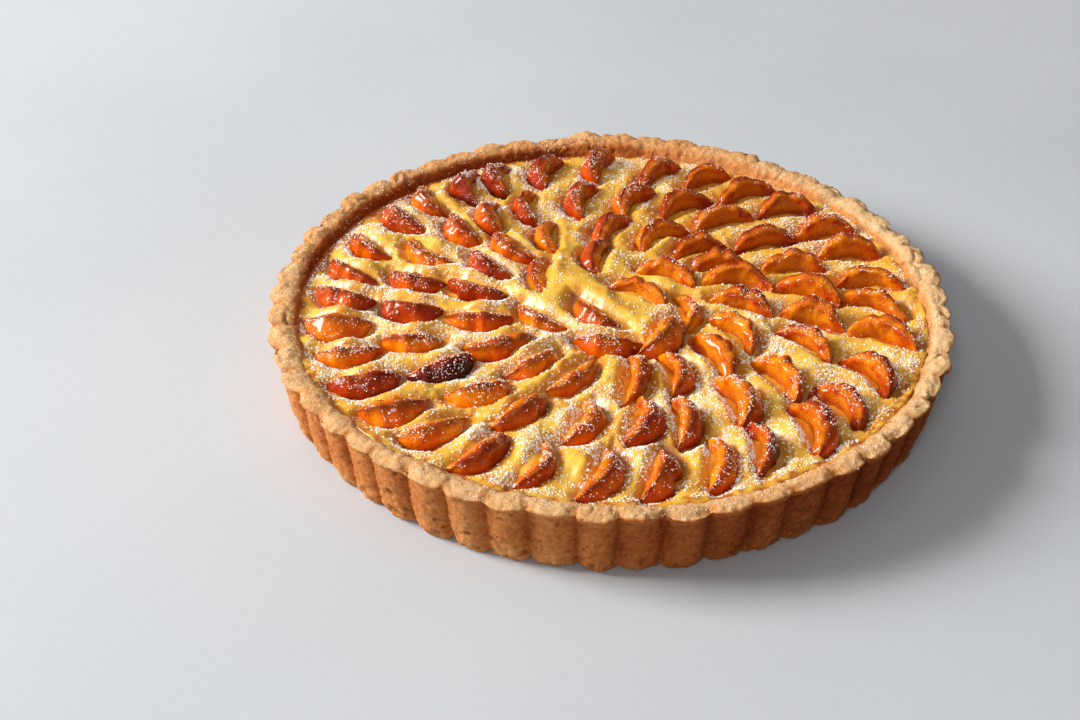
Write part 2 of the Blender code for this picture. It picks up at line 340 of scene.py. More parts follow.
def case_outline():
    """What changes round the case, over the angle.

    crest: half a sine wave over each flute to a power. groove: how far the wall steps in, the flute depth
    times 1 - crest. scallop: the same for the rim, changed by a slow wave. top: the rim's height, from slow
    waves, a draw for each flute, noise and notches. reach: how far a flute stands out. lift: the foot's edge
    off the ground. cleft: how deep a groove goes on over the rim. inner: the rim's inner radius. wider: how
    much less that is in two places.
    """
    rng = np.random.default_rng(CRUST_SEED)
    flute_height = rng.uniform(-1.0, 1.0, FLUTES)
    flute_reach = rng.uniform(-1.0, 1.0, FLUTES)
    wave_phase = rng.uniform(0.0, 2.0 * math.pi, 6)
    flute_lift = rng.uniform(0.0, 1.0, FLUTES)

    angle = np.arange(CRUST_COLUMNS) * (2.0 * math.pi / CRUST_COLUMNS) + FLUTE_PHASE
    turn = (np.arange(CRUST_COLUMNS) + 0.5) * FLUTES / CRUST_COLUMNS
    turn = turn + 0.07 * np.sin(17 * angle + 1.0) * np.sin(5 * angle) ** 2
    turn = turn % FLUTES
    flute = np.floor(turn).astype(int)
    crest = np.sin(math.pi * (turn - flute)) ** FLUTE_POWER
    groove = FLUTE_DEPTH * (1.0 - crest)
    ring = np.stack([FOOT_RADIUS * np.cos(angle), FOOT_RADIUS * np.sin(angle), 0.0 * angle], axis=-1)

    waves = sum(np.sin((k + 2) * angle + wave_phase[k]) for k in range(6)) / 6
    top = HEIGHT + 0.0009 * waves + 0.0006 * flute_height[flute] * crest - 0.0004 * (1.0 - crest)
    top = top - rim_notches(angle) + 0.0005 * rough(ring, 0.0060, 2, 91)
    crumbs = np.maximum(rough(ring, 0.0036, 2, 81), -0.6)
    wider = RIM_EXTRA * (facing(angle, 215, 0.5, 0.95) + facing(angle, 55, 0.5, 0.95))
    return SimpleNamespace(
        angle=angle,
        crest=crest,
        groove=groove,
        scallop=groove * (1.0 + 0.25 * np.sin(7 * angle + wave_phase[0])),
        top=top,
        reach=0.0007 * flute_reach[flute] * crest,
        lift=0.0006 + 0.0014 * (1.0 - crest) ** 1.3 + 0.0008 * flute_lift[flute] * crest + 0.0012 * crumbs,
        cleft=groove * (0.05 + 0.32 * smooth_step(rough(ring, 0.018, 1, 97), -0.4, 0.4)),
        wider=wider,
        inner=inner_radius(HEIGHT) + 0.0012 - wider + 0.0007 * rough(ring, 0.0065, 2, 95),
    )


def underside_rows(case):
    """From the middle of the underside out to the foot, which lifts with the square of the way."""
    foot_in = FOOT_RADIUS - FLUTE_DEPTH - 0.0035
    rows = [(0.0, 0.0), (0.5 * foot_in, 0.0), (foot_in, 0.0)]
    for share in (0.35, 0.7, 0.9):
        rows.append((foot_in + share * (FOOT_RADIUS - case.groove - 0.0010 - foot_in), case.lift * share**2))
    return rows


def wall_rows(case):
    """Up the fluted wall. It leans out evenly, bulges by half a sine wave and is drawn in at the foot."""
    rows = []
    for share in np.linspace(0.0, 1.0, 28):
        height = case.lift * 0.9 + share * (case.top - LIP_HEIGHT - case.lift * 0.9)
        tuck = 0.0009 * bell(height - case.lift, 0.0014)
        belly = 0.0003 * np.sin(math.pi * share)
        rows.append((FOOT_RADIUS + WALL_SLOPE * height - case.groove + case.reach + belly - tuck, height))
    return rows


def lip_rows(case):
    """Up round the lip, which stands out over the wall by a quarter of a sine wave."""
    rows = []
    for share in (0.25, 0.5, 0.8, 1.0):
        out = LIP_REACH * math.sin(0.5 * math.pi * share)
        groove = case.groove + share * (case.scallop - case.groove)
        radius = RIM_RADIUS - groove + case.reach + out - 0.0004 * (1.0 - share)
        rows.append((radius, case.top - LIP_HEIGHT + share * 0.0026))
    return rows


def rim_rows(case):
    """In over the rim: half a sine wave that falls inwards with the cube of the way, less the clefts."""
    rows = []
    edge = RIM_RADIUS - case.scallop + case.reach + 0.0009
    for share in np.linspace(0.05, 1.0, 13):
        crown = RIM_CROWN * math.sin(math.pi * share) - RIM_FALL * share**3
        height = case.top + crown - case.cleft * bell(share - 0.05, 0.45)
        rows.append((edge + share * (case.inner - edge), height))
    return rows


def inside_rows(case):
    """Down the inside to below the custard, and in to the middle of the floor."""
    rows = []
    for share in np.linspace(0.12, 1.0, 10):
        height = case.top - RIM_FALL - share * (HEIGHT - CUSTARD_LEVEL + 0.0012)
        rows.append((case.inner - (0.0042 - 0.6 * case.wider) * share**0.8, height))
    floor = inner_radius(BASE_THICKNESS)
    return rows + [(floor, BASE_THICKNESS + 0.002), (floor - 0.003, BASE_THICKNESS), (0.0, BASE_THICKNESS)]


def crust_form(case):
    """The case's smooth form: radius and height of each row, over the angle."""
    rows = underside_rows(case) + wall_rows(case) + lip_rows(case) + rim_rows(case) + inside_rows(case)
    return (np.array([np.broadcast_to(row[part], case.angle.shape) for row in rows]) for part in (0, 1))


def near_foot(height):
    """1 at the foot of the wall, falling to 0 at half its height."""
    return 1.0 - smooth_step(height, 0.003, 0.015)


def crust_crumb(points, upright, radius, height):
    """How far the crumb stands out from the smooth form at each point, and how much painted shade its pits
    and cracks get, from 0 to 1.

    Lumps, grain and the foot's crumbs are lattice noise, pits are the peaks of such noise, and a crack runs
    where it crosses zero, as a bell curve. The rim's outer corner is ragged and chipped in places.
    """
    outer = smooth_step(radius, RIM_RADIUS - 0.016, RIM_RADIUS - 0.010) * smooth_step(height, 0.0002, 0.0016)
    low = near_foot(height)
    rim_top = smooth_step(height, HEIGHT - 0.0050, HEIGHT - 0.0015)
    within = smooth_step(RIM_RADIUS - RIM_WIDTH - radius, -0.0010, 0.0010)
    corner = bell(radius - RIM_RADIUS + 0.0008, 0.0022) * bell(height - HEIGHT + 0.0006, 0.0020)
    layered = points * (1.0, 1.0, 1.8)

    lumps = (LUMP_HEIGHT + 0.00045 * rim_top) * rough(points, LUMP_SIZE, 2, 21)
    grain = (GRAIN_HEIGHT + 0.00030 * within) * rough(layered, GRAIN_SIZE, 2, 31)
    crumbly = FOOT_CRUMB_HEIGHT * low * rough(points, FOOT_CRUMB_SIZE, 2, 61) * upright
    ragged = RAGGED_HEIGHT * corner * rough(points, RAGGED_SIZE, 2, 67)
    pits = smooth_step(lattice_noise(layered, PIT_SIZE, 41) + 0.32 * low - 0.10, 0.56, 0.85)
    cracks = bell(lattice_noise(layered, CRACK_SIZE, 51), 0.08)
    cracks = cracks * smooth_step(lattice_noise(points, 0.013, 55), 0.0, 0.5)
    chips = corner * smooth_step(lattice_noise(points, CHIP_SIZE, 65), 0.20, 0.50)

    amount = lumps + grain * (1.3 - 0.3 * upright) + crumbly + ragged - CHIP_DEPTH * chips
    amount = amount - PIT_DEPTH * pits * (0.20 + 0.80 * upright) - (CRACK_DEPTH + 0.0006 * rim_top) * cracks
    # Painted shade in the pits and the cracks.
    pit_and_crack_shade = np.clip(pits * (0.15 + 0.85 * upright) + 0.7 * cracks, 0.0, 1.0)
    return amount * outer, pit_and_crack_shade * outer


def crust_bake_and_shade(points, normal, case, radius, height):
    """How dark each point is, by its bake and by painted shade and light, and how far it belongs to the
    outside of the wall, both from 0 to 1.

    The wall has painted shade in its grooves and at the right of the front, and the inside is darker at the
    left of the back, browner and with painted shade. The rim is pale, paler at the right as painted light and
    darker at the back, with painted shade in creases on the line of the grooves.
    The rim is pale, most of all at the right, with darker creases on the line of the grooves.
    """
    angle, between = case.angle, 1.0 - case.crest
    upright = 1.0 - np.abs(normal[..., 2])
    on_top = smooth_step(normal[..., 2], 0.35, 0.85)
    inside = smooth_step(RIM_RADIUS - RIM_WIDTH + 0.0024 - 0.8 * case.wider - radius, -0.0012, 0.0034)
    outside = 1.0 - inside

    # Browner bake and painted shade inside, at the left of the back, where it faces away from the light.
    scorched_and_shaded = 0.46 * facing(angle, 138, 0.4, 0.95) - 0.10
    # Pale rim: paler at the right as painted light, where it faces the light, and darker at the back.
    pale = 0.30 + 0.16 * facing(angle, 5, 0.5, 0.95) - 0.09 * facing(angle, 100, 0.3, 0.9)
    # Painted shade on the wall at the right of the front.
    shaded = 0.34 * facing(angle, -30, 0.25, 0.95)
    # Painted shade in the creases over the rim, on the line of the grooves.
    crease_shade = 0.30 * between**2 * on_top * smooth_step(radius, RIM_RADIUS - 0.007, RIM_RADIUS - 0.002)
    # Painted shade in the wall's grooves.
    bake_and_shade = 0.40 + 0.22 * between * upright * outside - pale * on_top * outside + scorched_and_shaded * inside
    bake_and_shade = bake_and_shade + shaded * upright * outside + crease_shade
    bake_and_shade = bake_and_shade + 0.09 * rough(points, 0.016, 2, 71) - 0.10 * near_foot(height) * upright
    return bake_and_shade, upright * outside


def crust_surface():
    """The case with its crumb: the smooth form moved along its normals, and never below the ground."""
    case = case_outline()
    radius, height = crust_form(case)
    points = np.stack([radius * np.cos(case.angle), radius * np.sin(case.angle), height], axis=-1)
    normal = grid_normals(points)
    crumb, pit_and_crack_shade = crust_crumb(points, 1.0 - np.abs(normal[..., 2]), radius, height)
    points = points + normal * crumb[..., None]
    points[..., 2] = np.maximum(points[..., 2], 0.0)
    bake_and_shade, wall = crust_bake_and_shade(points, normal, case, radius, height)
    return points, {"bake_and_shade": bake_and_shade, "pit_shade": pit_and_crack_shade, "wall": wall, "dust": dusting(points)}


# The custard.

def fruit_marks(x, y, halves):
    """What the halves do to the custard round them.

    nearest: the distance to the nearest half. dome: custard that stands before the cut faces, the product of
    two bell curves. groove and blush: a line and juice along the skins, bell curves of the distance.
    """
    marks = SimpleNamespace(nearest=np.full(x.shape, 0.05), dome=np.zeros(x.shape),
                            groove=np.zeros(x.shape), blush=np.zeros(x.shape))
    for half in halves:
        near = near_half(half, x, y)
        way, front, share = plum_footprint(half, x[near], y[near])
        behind = smooth_step(-front, -0.0015, 0.0015)
        dome = half["dome"] * bell(front - 0.0010, 0.0050) * bell(share, 0.50) * (front > -0.004)
        marks.nearest[near] = np.minimum(marks.nearest[near], np.maximum(way, 0.0))
        marks.dome[near] = np.maximum(marks.dome[near], dome)
        marks.groove[near] = np.maximum(marks.groove[near], bell(way, 0.0017) * behind)
        marks.blush[near] = np.maximum(marks.blush[near], bell(way, 0.0024) * (0.75 + 0.25 * behind))
    return marks


def custard_zones(x, y):
    """Where in the tart a point lies, as weights from 0 to 1. calm is low where the custard is smooth: in the
    pool near the middle and at the case."""
    radius, angle = np.hypot(x, y), np.arctan2(y, x)
    edge = inner_radius(CUSTARD_LEVEL)
    pool = bell(np.hypot(x + 0.004, y - 0.004), 0.030)
    return SimpleNamespace(
        left=facing(angle, 205, -0.6, 0.7),
        back=facing(angle, 75, 0.2, 0.9) * smooth_step(radius, 0.045, 0.080),
        right=facing(angle, -15, 0.3, 0.95) * smooth_step(radius, 0.02, 0.05),
        far_left=facing(angle, 130, 0.2, 0.9),
        heart=bell(radius, 0.045),
        inland=1.0 - smooth_step(radius, 0.108, 0.122),
        calm=1.0 - 0.75 * np.maximum(pool, smooth_step(radius, edge - 0.007, edge)),
        at_case=smooth_step(radius, edge - 0.010, edge - 0.002),
        climbing=smooth_step(radius, edge - 0.008, edge - 0.003),
        margin=smooth_step(radius, edge - 0.006, edge - 0.001),
    )


def custard_form(x, y, halves):
    """Height of the custard at x, y, and how juicy, how near the case and how much painted shade it has
    between the fruit.

    The custard swells between the halves, as a smooth step of the distance to the nearest one that is higher
    in some zones, and is sunken in patches. It domes up before the cut faces, has a groove at the skins,
    ripples everywhere and climbs a little at the case.
    """
    zone, marks = custard_zones(x, y), fruit_marks(x, y, halves)
    points = np.stack([x, y, np.zeros(x.shape)], axis=-1)
    patch = smooth_step(lattice_noise(points, SUNKEN_SIZE, 221), -0.5, 0.5)

    high = SWELL + (SWELL_AT_LEFT + SWELL_AT_LEFT_INLAND * zone.inland) * zone.left
    high = high + SWELL_AT_HEART * zone.heart + SWELL_AT_BACK * zone.back + SWELL_AT_RIGHT * zone.right
    lap = -0.0006 - 0.0040 * np.maximum(zone.left, zone.heart)
    swell = high * smooth_step(marks.nearest, lap, 0.0044) - SUNKEN_DEPTH * patch
    swell = swell * (1.0 - 0.8 * zone.far_left * zone.at_case)
    domes = DOME_HEIGHT * (1.0 - 0.5 * zone.back - 0.4 * zone.heart - 0.55 * zone.right) * marks.dome
    broad = (0.0013 + 0.0007 * zone.left) * zone.calm * rough(points, 0.012, 3, 201)
    fine = 0.00020 * rough(points, 0.0021, 1, 211) + 0.00050 * rough(points, 0.0045, 2, 215)
    ripple = broad + zone.calm * fine
    height = CUSTARD_LEVEL + swell + domes - GROOVE_DEPTH * marks.groove * patch + ripple
    height = height + CLIMB * zone.climbing

    # Near the case: browned custard, and more at the back-left as painted shadow of the rim.
    margin = zone.margin * (0.6 + 0.4 * zone.far_left)
    values = {
        "juice": np.clip(np.maximum(marks.blush, 0.8 * margin), 0.0, 1.0),
        "margin": margin,
        # Painted shade: orange low between the fruit, less on the domes.
        "deep": (1.0 - smooth_step(marks.nearest, 0.0, 0.0045)) * (1.0 - 0.8 * marks.dome),
    }
    return height, values


def custard_surface(halves):
    """The custard's top, as a grid in the square from -1 to 1 that is mapped onto a disc.

    A point's larger coordinate gives the radius, and the ratio of the two the angle within that quarter.
    """
    line = np.linspace(-1.0, 1.0, CUSTARD_CELLS + 1)
    across, up = np.meshgrid(line, line, indexing="ij")
    wide = np.abs(across) >= np.abs(up)
    safe_across = np.where(across == 0.0, 1.0, across)
    safe_up = np.where(up == 0.0, 1.0, up)
    radius = np.where(wide, across, up)
    up_angle = 0.5 * math.pi - 0.25 * math.pi * across / safe_up
    angle = np.where(wide, 0.25 * math.pi * up / safe_across, up_angle)
    reach = inner_radius(CUSTARD_LEVEL) + CUSTARD_TUCK
    x, y = reach * radius * np.cos(angle), reach * radius * np.sin(angle)
    height, values = custard_form(x, y, halves)
    points = np.stack([x, y, height], axis=-1)
    return points, {**values, "dust": dusting(points)}


def build_custard(halves, material):
    """The custard as one closed piece: the top, and a side and an underside that hang from its border."""
    top, attributes = custard_surface(halves)
    size = CUSTARD_CELLS + 1
    number = np.arange(size * size).reshape(size, size)
    quads = np.stack([number[:-1, :-1], number[1:, :-1], number[1:, 1:], number[:-1, 1:]], axis=-1)
    border = np.concatenate([number[:-1, 0], number[-1, :-1], number[:0:-1, -1], number[0, :0:-1]])
    flat_top = top.reshape(-1, 3)
    bottom = BASE_THICKNESS + 0.001
    low = flat_top[border] * (0.985, 0.985, 0.0) + (0.0, 0.0, bottom)
    points = np.concatenate([flat_top, low, [[0.0, 0.0, bottom]]])
    below = len(flat_top) + np.arange(len(border))
    side = np.stack([border, below, np.roll(below, -1), np.roll(border, -1)], axis=-1)
    middle = np.full(len(border), len(points) - 1)
    floor = np.stack([middle, np.roll(below, -1), below], axis=-1)
    spare = np.zeros(len(border) + 1)
    values = {label: np.concatenate([grid.ravel(), spare]) for label, grid in attributes.items()}
    quads = np.concatenate([quads.reshape(-1, 4), side])
    return new_piece("custard_filling", points, quads, floor, values, material), top


# The halved plums.

def half_plum_form(half, bend, hollow_size, skew):
    """The smooth form of half a baked plum: rows from tip to tip along X, columns round it, cut face at -Y.

    s goes from 1 to -1 along it, and v and around are the cosine and the sine of the angle round it. Skin: an
    ellipse round, whose breadth and depth fall to the tips as a power of 1 - s^2. Cut face: from the edge it
    swells to a lip of flesh, a sine wave to a power, and drops into the stone's hollow, a half ellipsoid to a
    power. The whole bends towards the face with s^2.
    """
    s = np.cos(math.pi * np.linspace(0.0, 1.0, PLUM_ROWS))[:, None]
    phi = (2.0 * math.pi * np.arange(PLUM_COLUMNS) / PLUM_COLUMNS)[None, :]
    line = np.stack([40.0 * s + half["seed"], 0.0 * s, 0.0 * s], axis=-1)
    uneven = 1.0 + 0.09 * lattice_noise(line, 9.0, half["seed"] + 1)
    taper = np.maximum(1.0 - s * s, 0.0) ** PLUM_POWER * uneven
    v = np.cos(phi) + 0.0 * s
    around = np.sin(phi) + 0.0 * s
    skin_side = around >= 0.0
    off_edge = 1.0 - np.abs(v)

    wide = 0.46 + 0.12 * hollow_size
    long = 0.56 + 0.12 * hollow_size
    bowl = np.clip(1.0 - ((v - 0.14) / wide) ** 2 - (s / long) ** 2, 0.0, 1.0)
    lip = FLESH_LIP * np.sin(math.pi * np.clip(off_edge / 0.85, 0.0, 1.0)) ** 0.7 * taper
    face = STONE_HOLLOW * (0.45 + 0.6 * hollow_size) * bowl**0.7 - lip
    y = np.where(skin_side, half["depth"] * around * taper, face) - 0.5 * half["depth"]
    y = y - (0.0005 + 0.0016 * bend) * s * s
    x = 0.5 * half["length"] * s + 0.0 * phi
    z = 0.5 * half["breadth"] * v * taper + 0.0012 * (skew - 0.5) * s
    return SimpleNamespace(points=np.stack([x, y, z], axis=-1), s=s, v=v, around=around, taper=taper,
                           skin_side=skin_side, off_edge=off_edge, bowl=bowl)


def half_plum_relief(form, seed, fold_pull):
    """How far a half's surface stands out from its smooth form.

    Folds and finer puckers go all over, wrinkles over the skin, pulp and fibres over the flesh. Fibres are
    noise of the direction from the middle alone, so they run out like rays. All of it fades at the tips.
    """
    points, s, v = form.points, form.s, form.v
    stretched = points * (0.45, 1.0, 1.0) + seed
    folds = FOLD_HEIGHT * (0.4 + fold_pull) * lattice_noise(stretched, FOLD_SIZE, seed)
    folds = folds + PUCKER_HEIGHT * lattice_noise(points + seed, PUCKER_SIZE, seed + 7)
    wrinkles = FINE_WRINKLE_HEIGHT * rough(stretched, FINE_WRINKLE_SIZE, 2, seed + 3)
    wrinkles = wrinkles + WRINKLE_HEIGHT * form.skin_side * rough(stretched, WRINKLE_SIZE, 2, seed + 4)
    flesh = np.where(form.skin_side, 0.0, smooth_step(form.off_edge, 0.0, 0.2))
    pulp = PULP_HEIGHT * rough(points * (0.45, 1.0, 1.6) + seed, PULP_SIZE, 2, seed + 5)
    ray = np.stack([s + 0.0 * v, v, 0.0 * v], axis=-1) / (np.hypot(s, v) + 1e-6)[..., None] + seed
    fibres = FIBRE_HEIGHT * lattice_noise(ray, FIBRE_TURN, seed + 6)
    return (folds + wrinkles + flesh * (pulp + fibres)) * smooth_step(form.taper, 0.05, 0.45)


def half_plum_values(half, form, places, skew):
    """What a half's points are: skin, ripeness with painted shade, edge, a band of painted glow inside it,
    the stone's bowl, juice and painted shade at the custard, and dust.
    """
    skin_side, around, off_edge = form.skin_side, form.around, form.off_edge
    mottle = rough(places, 0.0070, 2, half["seed"] + 9)
    # Painted shade: each half darker towards +X, its side away from the light.
    shade_side = (places[..., 0] - half["centre"][0]) / half["length"]
    ripe = half["ripe"] + 0.26 * form.s * (skew - 0.4) + 0.28 * shade_side + 0.26 * mottle
    ripe = ripe + np.where(skin_side, 0.0, 0.22 * form.v)
    return {
        "skin": np.where(skin_side, smooth_step(around, 0.0, 0.25), 0.0),
        "ripe": np.clip(ripe, 0.0, 0.9),
        "edge": np.where(skin_side, bell(around, 0.20), bell(off_edge, 0.075)),
        # Painted light: a paler band glowing in the thin flesh near the edge.
        "painted_glow": np.where(skin_side, 0.0, bell(off_edge - 0.24, 0.10)),
        "bowl": np.where(skin_side, 0.0, form.bowl**0.5),
        # Juice and painted shade: darker low down, near the custard.
        "juice_and_shade": 1.0 - smooth_step(places[..., 2] - CUSTARD_LEVEL, 0.0, 0.0045),
        "dust": dusting(places),
    }


def half_plum_surface(half):
    """Half a baked plum in its place: its smooth form moved along its normals, leant and turned."""
    rng = np.random.default_rng(half["seed"])
    bend, fold_pull, hollow_size, skew = rng.uniform(0.0, 1.0, 4)
    form = half_plum_form(half, bend, hollow_size, skew)
    relief = half_plum_relief(form, half["seed"], fold_pull)
    points = form.points + grid_normals(form.points) * relief[..., None]
    places = points @ turning(half).T + half["centre"]
    return places, half_plum_values(half, form, places, skew)


# Sugar.

def scatter(points, weight, count, rng):
    """Random places on a grid: a cell is drawn by its area times its weight, and the place in it evenly."""
    a, b = points[:-1, :-1], points[1:, :-1]
    c, d = points[1:, 1:], points[:-1, 1:]
    cross = np.cross(c - a, d - b)
    area = np.linalg.norm(cross, axis=-1)
    chance = (area * weight[:-1, :-1]).ravel()
    drawn = rng.choice(chance.size, count, p=chance / chance.sum())
    u, w = rng.uniform(0.0, 1.0, (2, count, 1))
    a, b, c, d = (corner.reshape(-1, 3)[drawn] for corner in (a, b, c, d))
    return a * (1 - u) * (1 - w) + b * u * (1 - w) + c * u * w + d * (1 - u) * w


def dusting(points):
    """How thickly the sugar lies, from 0 to 1: more at the left, the front and the very back, little in the
    middle, and all of it in loose patches of three sizes."""
    x, y = points[..., 0], points[..., 1]
    lean_left = 0.5 - 0.5 * np.tanh((x - 0.035 + 0.25 * y) / 0.075)
    front = 0.5 - 0.5 * np.tanh((y + 0.005) / 0.05)
    heart = bell(np.hypot(x + 0.012, y - 0.022), 0.030)
    back = smooth_step(y + 0.4 * x, 0.02, 0.10)
    level = 0.36 + 0.20 * lean_left + 0.40 * front - 0.50 * heart + 0.12 * back
    ground = points * (1.0, 1.0, 0.0)
    patches = lattice_noise(ground, 0.012, 301) + 0.5 * lattice_noise(ground, 0.005, 303)
    patches = smooth_step(patches + 0.45 * lattice_noise(ground, 0.0024, 305), -0.35, 0.75)
    return np.clip(level * (0.10 + 1.1 * patches), 0.02, 0.75)


def build_grains(name, places, size, material, rng):
    """Sugar grains: small tetrahedra, each stretched and turned at random, in one mesh."""
    corners = np.array([[1, 1, 1], [-1, -1, 1], [-1, 1, -1], [1, -1, -1]]) / math.sqrt(3.0)
    faces = np.array([[0, 2, 1], [0, 1, 3], [0, 3, 2], [1, 2, 3]])
    count = len(places)
    scale = size * rng.lognormal(0.0, 0.28, (count, 1, 1)) * rng.uniform(0.7, 1.2, (count, 1, 3))
    turns, _ = np.linalg.qr(rng.normal(size=(count, 3, 3)))
    turns = turns * np.sign(np.linalg.det(turns))[:, None, None]
    points = (corners[None] * scale) @ turns.transpose(0, 2, 1) + places[:, None, :]
    triangles = (faces[None] + 4 * np.arange(count)[:, None, None]).reshape(-1, 3)
    return new_piece(name, points.reshape(-1, 3), np.zeros((0, 4), int), triangles, {}, material)


# Shader nodes.

def colour(code):
    """A colour from a six-digit sRGB code, as linear red, green, blue and 1."""
    parts = [int(code[i:i + 2], 16) / 255 for i in (0, 2, 4)]
    return (*((part / 12.92) if part <= 0.04045 else ((part + 0.055) / 1.055) ** 2.4 for part in parts), 1.0)


def feed(tree, node, inputs):
    """Links a node's inputs to outputs, or sets them to values."""
    for name, value in inputs.items():
        if isinstance(value, bpy.types.NodeSocket):
            tree.links.new(value, node.inputs[name])
        else:
            node.inputs[name].default_value = value


def add_node(tree, kind, inputs=None, **properties):
    """A shader node with its properties set and its inputs fed."""
    made = tree.nodes.new(kind)
    for name, value in properties.items():
        setattr(made, name, value)
    feed(tree, made, inputs or {})
    return made


def mix(tree, share, low, high, blend="MIX"):
    """Two colours mixed by a share from 0 to 1."""
    made = add_node(tree, "ShaderNodeMix", {0: share, 6: low, 7: high}, data_type="RGBA", blend_type=blend)
    return made.outputs[2]


def maths(tree, operation, first, second=0.0):
    """One sum on one or two values."""
    return add_node(tree, "ShaderNodeMath", {0: first, 1: second}, operation=operation).outputs[0]


def span(tree, value, low, high, to_low=0.0, to_high=1.0):
    """Maps the range from low to high onto another, smoothly and clamped."""
    inputs = {"Value": value, "From Min": low, "From Max": high, "To Min": to_low, "To Max": to_high}
    return add_node(tree, "ShaderNodeMapRange", inputs, interpolation_type="SMOOTHSTEP").outputs["Result"]


def ramp(tree, value, stops):
    """A colour by the value, from pairs of place and colour."""
    made = add_node(tree, "ShaderNodeValToRGB", {0: value})
    elements = made.color_ramp.elements
    while len(elements) < len(stops):
        elements.new(0.5)
    for element, (place, code) in zip(elements, stops):
        element.position = place
        element.color = colour(code)
    return made.outputs["Color"]


def object_places(tree):
    """Places on the piece itself, in metres."""
    return add_node(tree, "ShaderNodeTexCoord").outputs["Object"]


def noise(tree, size, detail=2.0, roughness=0.5):
    """Noise whose features are about that size in metres."""
    inputs = {"Vector": object_places(tree), "Scale": 1.0 / size, "Detail": detail, "Roughness": roughness}
    return add_node(tree, "ShaderNodeTexNoise", inputs).outputs["Fac"]


def attribute(tree, name):
    """The mesh's own value of that name."""
    return add_node(tree, "ShaderNodeAttribute", attribute_name=name).outputs["Fac"]


def stain(tree, base, mask, strength, code, blend="MIX"):
    """The base with a colour over it where the mask is, up to that strength."""
    return mix(tree, maths(tree, "MULTIPLY", mask, strength), base, colour(code), blend)


def new_material(name):
    """A material, its node tree and its shader."""
    made = bpy.data.materials.new(name)
    made.use_nodes = True
    return made, made.node_tree, made.node_tree.nodes["Principled BSDF"]


def set_shader(tree, shader, **inputs):
    """Feeds the shader's inputs, whose names are written with underscores."""
    feed(tree, shader, {name.replace("_", " "): value for name, value in inputs.items()})


def bump(tree, height, distance, strength=1.0):
    """The normal of fine relief, from its height and its size in metres."""
    inputs = {"Height": height, "Distance": distance, "Strength": strength}
    return add_node(tree, "ShaderNodeBump", inputs).outputs["Normal"]


def dulled(tree, gloss, dust):
    """The roughness of a glossy food, dull where specks of sugar lie."""
    return maths(tree, "MAXIMUM", gloss, maths(tree, "MULTIPLY", dust, 0.8))


def make_sugar_group():
    """Fine icing sugar on what faces up: round specks from a Voronoi pattern, as many as the amount says."""
    group = bpy.data.node_groups.new("icing sugar", "ShaderNodeTree")
    for label in ("Amount", "Speck Size"):
        group.interface.new_socket(label, in_out="INPUT", socket_type="NodeSocketFloat")
    group.interface.new_socket("Mask", in_out="OUTPUT", socket_type="NodeSocketFloat")
    given, put = group.nodes.new("NodeGroupInput"), group.nodes.new("NodeGroupOutput")
    scale = maths(group, "DIVIDE", 1.0, given.outputs["Speck Size"])
    specks = add_node(group, "ShaderNodeTexVoronoi", {"Vector": object_places(group), "Scale": scale})
    drawn = maths(group, "GREATER_THAN", given.outputs["Amount"], specks.outputs["Color"])
    disc = span(group, specks.outputs["Distance"], 0.32, 0.50, 1.0, 0.0)
    normal = add_node(group, "ShaderNodeNewGeometry").outputs["Normal"]
    upward = add_node(group, "ShaderNodeSeparateXYZ", {0: normal}).outputs["Z"]
    lying = span(group, upward, 0.25, 0.70)
    mask = maths(group, "MULTIPLY", maths(group, "MULTIPLY", disc, drawn), lying)
    group.links.new(mask, put.inputs["Mask"])
    return group


def sugar_mask(tree, group, share):
    """Where a piece has specks of sugar: that share of them at full dusting."""
    amount = maths(tree, "MULTIPLY", attribute(tree, "dust"), share)
    made = add_node(tree, "ShaderNodeGroup", {"Amount": amount, "Speck Size": SPECK_SIZE}, node_tree=group)
    return made.outputs["Mask"]


# Materials.

def make_crust_material(sugar):
    """Baked shortcrust: pale gold on the rim to brown inside, with painted shade and light, painted shade in
    its pits, pores and cracks, fine crumb and some sugar.
    """
    made, tree, shader = new_material("shortcrust baked")
    mottle = span(tree, noise(tree, 0.0022, 4.0, 0.7), 0.3, 0.7, -0.08, 0.08)
    base = ramp(tree, maths(tree, "ADD", attribute(tree, "bake_and_shade"), mottle), CRUST_BAKE_AND_SHADE)
    crumb = noise(tree, 0.0008, 4.0, 0.7)
    holes = add_node(tree, "ShaderNodeTexVoronoi", {"Vector": object_places(tree), "Scale": 1.0 / PORE_PITCH})
    open_ones = maths(tree, "GREATER_THAN", holes.outputs["Color"], 0.68)
    open_ones = maths(tree, "MULTIPLY", open_ones, attribute(tree, "wall"))
    pores = maths(tree, "MULTIPLY", span(tree, holes.outputs["Distance"], 0.10, 0.34, 1.0, 0.0), open_ones)
    base = mix(tree, span(tree, crumb, 0.45, 0.75, 0.0, 0.30), base, colour("CC8844"), "MULTIPLY")
    # Painted shade in the pits and cracks, and in the open pores of the wall.
    base = stain(tree, base, attribute(tree, "pit_shade"), 0.75, PIT_SHADE_BROWN)
    base = stain(tree, base, pores, 0.55, PIT_SHADE_BROWN)
    base = stain(tree, base, sugar_mask(tree, sugar, 0.18), 0.8, SUGAR_WHITE)
    height = maths(tree, "ADD", crumb, maths(tree, "MULTIPLY", noise(tree, 0.0035, 3.0), 1.5))
    relief = bump(tree, maths(tree, "SUBTRACT", height, pores), 0.0010)
    set_shader(tree, shader, Base_Color=base, Normal=relief, Roughness=0.85, Specular_IOR_Level=0.12,
               Subsurface_Weight=0.30, Subsurface_Scale=0.0025, Subsurface_Radius=(1.0, 0.5, 0.25))
    return made


